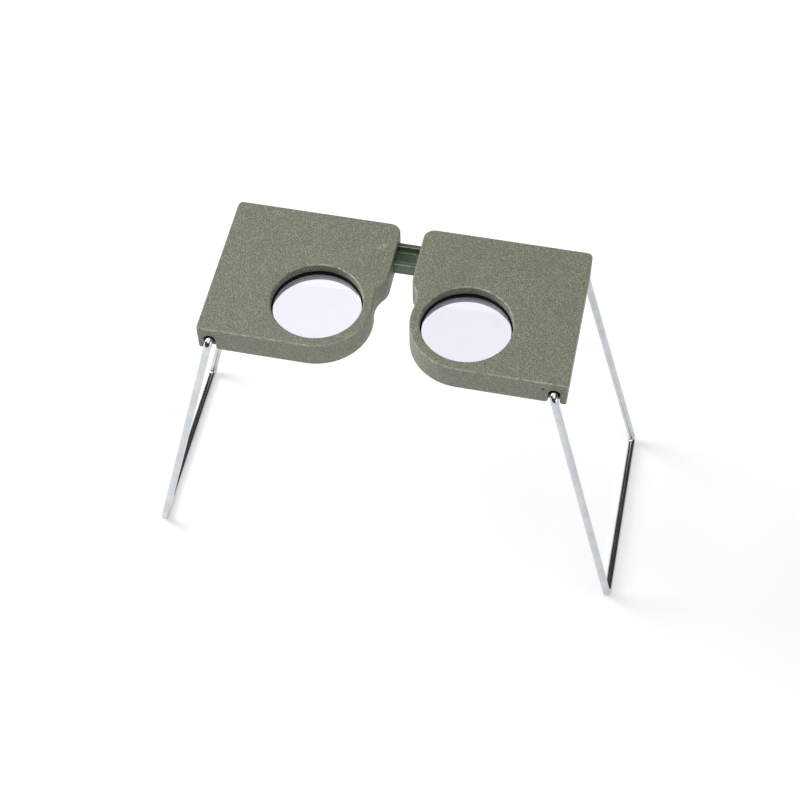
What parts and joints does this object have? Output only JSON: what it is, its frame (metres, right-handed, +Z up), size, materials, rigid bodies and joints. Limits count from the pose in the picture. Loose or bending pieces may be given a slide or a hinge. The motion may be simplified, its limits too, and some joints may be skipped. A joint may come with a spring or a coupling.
{
  "type": "pocket stereoscope",
  "caption": "Folding stereo viewer: lens halves on a sliding bridge, standing on wire legs that fold flat beneath.",
  "frame": {"origin": "on the table, under the middle of the overall box, midway between the lens halves", "axes": "+X along the line of the lenses towards the half that the bridge is screwed to, +Y away from the viewer, +Z up out of the top faces"},
  "size_m": [0.2212, 0.0948, 0.149],
  "materials": {
    "shell_plastic": "fine leather grain",
    "cover_plastic": "smooth, matt",
    "spacer_plastic": "smooth, matt",
    "bar_plastic": "satin moulding",
    "seal_rubber": "matt",
    "lens_glass": "polished",
    "leg_chrome": "plated wire",
    "keeper_steel": "brushed",
    "screw_steel": "turned",
    "spring_steel": "rolled strip"
  },
  "bodies": {
    "right_half": {"right_top_shell": "shell_plastic", "right_bottom_cover": "cover_plastic", "right_cover_screws": "screw_steel", "right_lens": "lens_glass", "right_lens_seat": "seal_rubber", "right_lens_spacer": "spacer_plastic", "right_front_leg_keeper": "keeper_steel", "right_rear_leg_keeper": "keeper_steel", "right_keeper_screws": "screw_steel", "bridge_bar": "bar_plastic", "bridge_screws": "screw_steel"},
    "left_half": {"left_top_shell": "shell_plastic", "left_bottom_cover": "cover_plastic", "left_cover_screws": "screw_steel", "left_lens": "lens_glass", "left_lens_seat": "seal_rubber", "left_lens_spacer": "spacer_plastic", "left_front_leg_keeper": "keeper_steel", "left_rear_leg_keeper": "keeper_steel", "left_keeper_screws": "screw_steel", "stop_screw": "screw_steel", "friction_spring": "spring_steel"},
    "right_leg": {"right_leg": "leg_chrome"},
    "left_leg": {"left_leg": "leg_chrome"}
  },
  "joints": [
    {"name": "pupil_slide", "type": "slide", "parent": "right_half", "child": "left_half", "axis": [-1, 0, 0], "range_m": [-0.01, 0.01]},
    {"name": "right_leg_fold", "type": "hinge", "parent": "right_half", "child": "right_leg", "pos_m": [0.074, 0, 0.142], "axis": [0, 1, 0], "range_deg": [0, 91]},
    {"name": "left_leg_fold", "type": "hinge", "parent": "left_half", "child": "left_leg", "pos_m": [-0.074, 0, 0.142], "axis": [0, -1, 0], "range_deg": [0, 100.5]}
  ]
}
